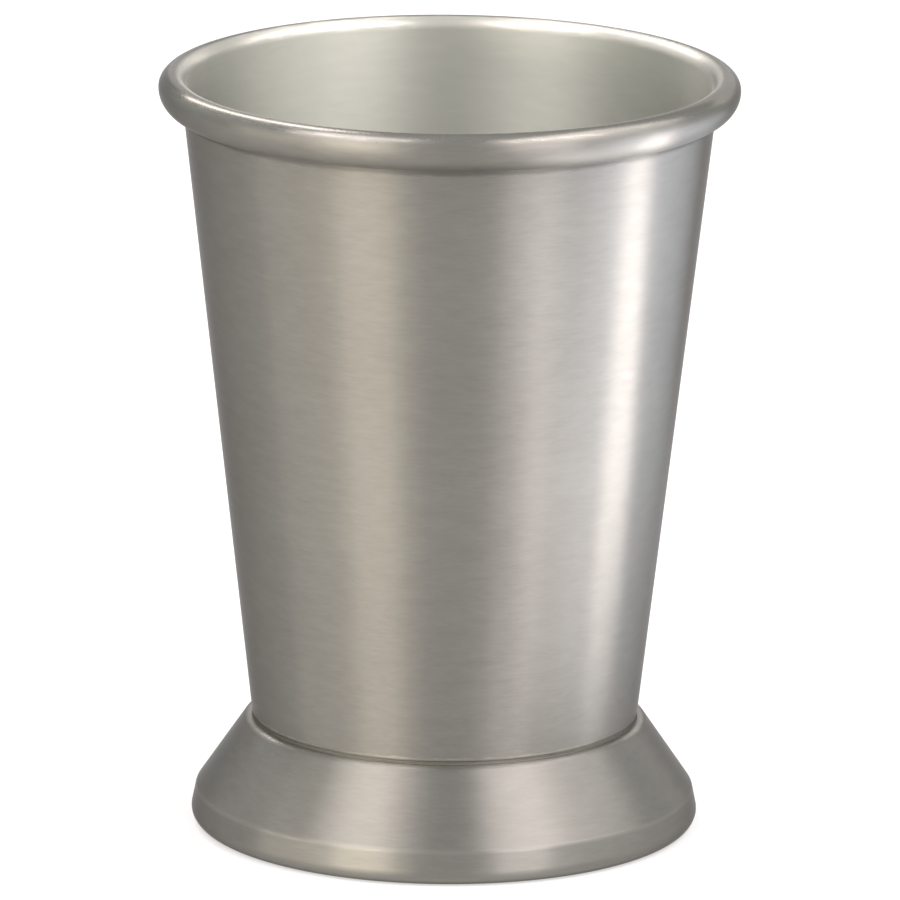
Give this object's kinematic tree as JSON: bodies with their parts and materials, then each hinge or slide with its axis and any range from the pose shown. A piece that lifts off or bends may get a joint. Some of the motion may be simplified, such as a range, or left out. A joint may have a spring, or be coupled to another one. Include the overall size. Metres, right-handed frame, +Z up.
{
  "type": "julep_cup",
  "caption": "Footed julep cup in satin grey metal: a tapered spun tumbler with an outward rolled rim, soldered on to a flared foot that is hollow and open below.",
  "frame": {"origin": "on the table under the middle of the cup, on the axis of the cup and the foot", "axes": "+Z up along the axis of the cup, out of its mouth; the cup is round, so +X and +Y are any two level directions, and the picture looks along +Y"},
  "size_m": [0.0815, 0.0814, 0.108],
  "materials": {
    "cup_metal": "satin, fine lines round the axis",
    "foot_metal": "satin, fine lines round the axis",
    "solder_metal": "dull"
  },
  "bodies": {
    "root": {"cup": "cup_metal", "foot": "foot_metal", "solder": "solder_metal"}
  },
  "joints": []
}
